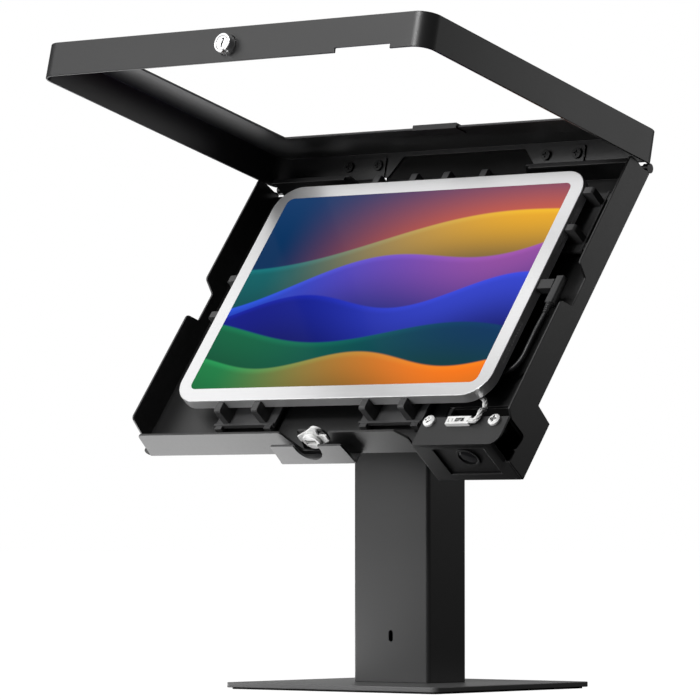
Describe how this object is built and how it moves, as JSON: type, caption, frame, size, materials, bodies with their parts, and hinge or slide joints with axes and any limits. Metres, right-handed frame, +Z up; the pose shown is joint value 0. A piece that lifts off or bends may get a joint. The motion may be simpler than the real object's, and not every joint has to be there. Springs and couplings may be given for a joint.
{
  "type": "tablet security kiosk stand",
  "caption": "Countertop kiosk stand whose sloping tray clamps a tablet behind a hinged, lockable window lid, with a scanner module, on a column and foot plate.",
  "frame": {"origin": "centre of the foot's underside, on the floor", "axes": "+Z up, -Y towards the person using the screen, +X to that person's right, where the scanner module is"},
  "size_m": [0.3044, 0.2572, 0.3996],
  "materials": {
    "pad_rubber": "matte",
    "powder_black": "satin powder coat",
    "lid_black": "satin powder coat",
    "tray_black": "satin powder coat",
    "keeper_grey": "satin",
    "zinc_steel": "zinc plated",
    "rod_steel": "dark steel",
    "chrome": "polished",
    "clamp_black": "matte",
    "soft_black": "matte",
    "module_black": "matte",
    "module_grey": "matte",
    "lens_dark": "gloss",
    "white_plastic": "gloss",
    "lead_black": "satin",
    "wire_white": "satin",
    "tablet_silver": "fine blasted",
    "screen": "gloss, lit"
  },
  "bodies": {
    "stand": {"base_pad": "pad_rubber", "base_plate": "powder_black", "base_screws": "zinc_steel", "column_foot": "powder_black", "column_tube": "powder_black", "power_inlet": "module_black", "head_plate": "keeper_grey", "head_bolts": "zinc_steel", "tray_shell": "tray_black", "corner_bumper": "soft_black", "cable_grommet": "soft_black", "clamp_rails": "tray_black", "clamp_screws": "zinc_steel", "charging_plug": "lead_black", "charging_lead": "lead_black", "module_housing": "module_black", "module_cover": "module_grey", "module_panel": "module_black", "module_ring": "module_black", "module_lens": "lens_dark", "module_screws": "white_plastic", "module_connector": "white_plastic", "module_wires": "wire_white", "catch_bracket": "tray_black", "catch_star": "chrome", "catch_socket": "chrome", "hinge_rod": "rod_steel"},
    "lid": {"lid_shell": "lid_black", "lid_back_strip": "tray_black", "hinge_leaf_left": "tray_black", "hinge_leaf_right": "tray_black", "leaf_screws": "zinc_steel", "lock_barrel": "zinc_steel"},
    "camera_cover": {"camera_cover": "clamp_black"},
    "lock_plunger": {"lock_plunger": "chrome"},
    "lock_core": {"lock_core": "chrome"},
    "clamp_bottom_left": {"clamp_bottom_left": "clamp_black", "fingers_bottom_left": "clamp_black"},
    "clamp_bottom_right": {"clamp_bottom_right": "clamp_black", "fingers_bottom_right": "clamp_black"},
    "clamp_top_left": {"clamp_top_left": "clamp_black", "fingers_top_left": "clamp_black"},
    "clamp_top_right": {"clamp_top_right": "clamp_black", "fingers_top_right": "clamp_black"},
    "clamp_left": {"clamp_left": "clamp_black", "fingers_left": "clamp_black"},
    "clamp_right": {"clamp_right": "clamp_black", "fingers_right": "clamp_black"},
    "tablet": {"tablet_body": "tablet_silver", "tablet_screen": "screen"}
  },
  "joints": [
    {"name": "lid_hinge", "type": "hinge", "parent": "stand", "child": "lid", "pos_m": [0, 0.05249, 0.32056], "axis": [-1, 0, 0], "range_deg": [-66, 24]},
    {"name": "cover_slide", "type": "slide", "parent": "lid", "child": "camera_cover", "axis": [1, 0, 0], "range_m": [-0.02, 0.02]},
    {"name": "lock_push", "type": "slide", "parent": "lid", "child": "lock_plunger", "axis": [0, 0.9703, -0.2419], "range_m": [0, 0.0052]},
    {"name": "lock_turn", "type": "hinge", "parent": "lock_plunger", "child": "lock_core", "pos_m": [0, -0.17229, 0.38835], "axis": [0, 0.9703, -0.2419], "range_deg": [0, 90]},
    {"name": "bottom_left_slide", "type": "slide", "parent": "stand", "child": "clamp_bottom_left", "axis": [0, -0.6157, -0.788], "range_m": [0, 0.012]},
    {"name": "bottom_right_slide", "type": "slide", "parent": "stand", "child": "clamp_bottom_right", "axis": [0, -0.6157, -0.788], "range_m": [0, 0.012]},
    {"name": "top_left_slide", "type": "slide", "parent": "stand", "child": "clamp_top_left", "axis": [0, 0.6157, 0.788], "range_m": [0, 0.004]},
    {"name": "top_right_slide", "type": "slide", "parent": "stand", "child": "clamp_top_right", "axis": [0, 0.6157, 0.788], "range_m": [0, 0.004]},
    {"name": "left_slide", "type": "slide", "parent": "stand", "child": "clamp_left", "axis": [-1, 0, 0], "range_m": [0, 0.012]},
    {"name": "right_slide", "type": "slide", "parent": "stand", "child": "clamp_right", "axis": [1, 0, 0], "range_m": [0, 0.012]},
    {"name": "tablet_lift", "type": "slide", "parent": "stand", "child": "tablet", "axis": [0, -0.788, 0.6157], "range_m": [0, 0.045]}
  ]
}
